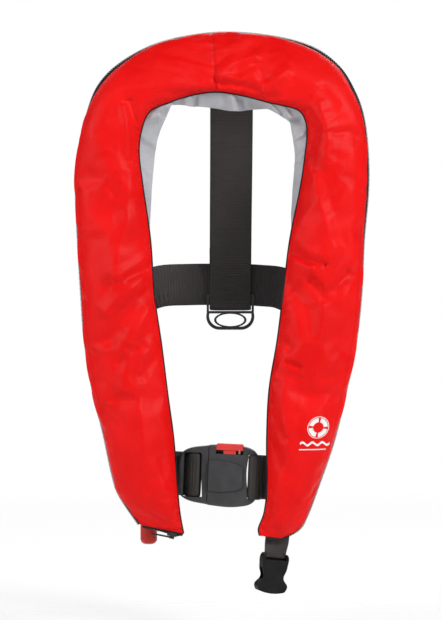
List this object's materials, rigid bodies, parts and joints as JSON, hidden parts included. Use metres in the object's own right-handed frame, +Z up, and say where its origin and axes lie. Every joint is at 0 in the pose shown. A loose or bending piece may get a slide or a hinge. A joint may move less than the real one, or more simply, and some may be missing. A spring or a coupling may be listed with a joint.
{
  "type": "inflatable life jacket",
  "caption": "Horseshoe inflatable life jacket in a zipped cover, with waist belt and push-button buckle, back strap with ring, crotch strap socket, pull handle, gas inflator and mouth tube",
  "frame": {"origin": "where the lining at the middle of the collar rests on the back of the wearer's neck", "axes": "+X is to the right for someone facing the jacket's front, +Y is towards the wearer's back, +Z is up"},
  "size_m": [0.3126, 0.136, 0.592],
  "materials": {
    "red_cloth": "coated woven nylon, satin",
    "lining": "brushed grey fleece lining",
    "binding": "woven tape, matte",
    "zip_plastic": "moulded zip teeth, semi-gloss",
    "webbing": "ribbed polyester webbing",
    "black_plastic": "fine-textured moulded plastic",
    "red_plastic": "moulded plastic, satin",
    "handle_plastic": "clear red moulded plastic",
    "bladder_cloth": "coated nylon, semi-gloss",
    "cylinder_steel": "zinc plated, satin",
    "steel": "stainless, brushed",
    "brass": "turned",
    "green_plastic": "moulded plastic",
    "white_plastic": "moulded plastic",
    "black_rubber": "matte",
    "cord": "braided cord",
    "whistle_plastic": "moulded plastic"
  },
  "bodies": {
    "cover": {"cover_front_left": "red_cloth", "cover_front_right": "red_cloth", "cover_back_left": "lining", "cover_back_right": "lining", "inner_piping": "binding", "zip_tape": "binding", "zip_chain": "zip_plastic", "zip_foot_chain": "zip_plastic", "bladder": "bladder_cloth", "gas_cylinder": "cylinder_steel", "firing_head": "black_plastic", "automatic_cap": "red_plastic", "automatic_cartridge": "white_plastic", "cartridge_spring": "steel", "bladder_valve_stem": "brass", "valve_nut": "brass", "lever_axle": "steel", "lanyard_eyelet": "black_rubber", "oral_tube": "black_rubber", "oral_flange": "black_rubber", "oral_mouthpiece": "black_plastic", "whistle": "whistle_plastic", "whistle_ring": "steel", "waist_belt": "webbing", "belt_keeper_left": "webbing", "belt_keeper_right": "webbing", "back_strap": "webbing", "buckle_front_shell": "black_plastic", "buckle_back_shell": "black_plastic", "button_spring": "steel", "belt_sewn_end": "webbing", "crotch_strap_sewn": "webbing"},
    "zip_slider": {"zip_slider": "zip_plastic"},
    "zip_puller": {"zip_puller": "zip_plastic"},
    "pull_handle": {"pull_handle": "handle_plastic", "pull_lanyard": "cord"},
    "firing_lever": {"firing_lever": "steel"},
    "firing_pin": {"firing_pin": "steel"},
    "oral_valve": {"oral_valve": "black_plastic"},
    "oral_cap": {"oral_cap": "black_plastic"},
    "back_ring": {"back_ring": "black_plastic"},
    "release_button": {"release_button": "red_plastic"},
    "buckle_tongue": {"buckle_tongue": "black_plastic", "belt_adjuster_run": "webbing"},
    "crotch_buckle": {"crotch_strap_end": "webbing", "crotch_buckle_socket": "black_plastic"}
  },
  "joints": [
    {"name": "zip_slide", "type": "slide", "parent": "cover", "child": "zip_slider", "axis": [-0.9755, 0.1168, 0.1863], "range_m": [0, 0.024]},
    {"name": "puller_swing", "type": "hinge", "parent": "zip_slider", "child": "zip_puller", "pos_m": [-0.05347, 0.00881, -0.44843], "axis": [-0.1147, -0.9932, 0.0219], "range_deg": [0, 100]},
    {"name": "handle_pull", "type": "slide", "parent": "cover", "child": "pull_handle", "axis": [0, 0.35, -0.9367], "range_m": [0, 0.012]},
    {"name": "lever_swing", "type": "hinge", "parent": "cover", "child": "firing_lever", "pos_m": [-0.078, -0.00434, -0.38591], "axis": [-1, 0, 0], "range_deg": [0, 39.1]},
    {"name": "pin_stroke", "type": "slide", "parent": "cover", "child": "firing_pin", "axis": [-0.1476, 0, 0.989], "range_m": [0, 0.003]},
    {"name": "valve_push", "type": "slide", "parent": "cover", "child": "oral_valve", "axis": [0.1034, 0.004, -0.9946], "range_m": [0, 0.0015], "stiffness_N_per_m": 400, "springref_m": -0.0005},
    {"name": "cap_pull", "type": "slide", "parent": "cover", "child": "oral_cap", "axis": [-0.1034, -0.004, 0.9946], "range_m": [0, 0.012]},
    {"name": "ring_swing", "type": "hinge", "parent": "cover", "child": "back_ring", "pos_m": [0.008, 0.108, -0.1955], "axis": [1, 0, 0], "range_deg": [-12, 8]},
    {"name": "button_press", "type": "slide", "parent": "cover", "child": "release_button", "axis": [-0.0435, 0.0027, -0.999], "range_m": [0, 0.004], "stiffness_N_per_m": 900, "springref_m": -0.001},
    {"name": "tongue_slide", "type": "slide", "parent": "cover", "child": "buckle_tongue", "axis": [-0.9972, 0.061, 0.0436], "range_m": [0, 0.036]},
    {"name": "crotch_swing", "type": "hinge", "parent": "cover", "child": "crotch_buckle", "pos_m": [0.057, 0.017, -0.449], "axis": [1, 0, 0], "range_deg": [-40, 40]}
  ],
  "couplings": [
    {"joint": "lever_swing", "follows": "handle_pull", "rad_per_m": 56.723},
    {"joint": "pin_stroke", "follows": "handle_pull", "ratio": 0.25}
  ]
}
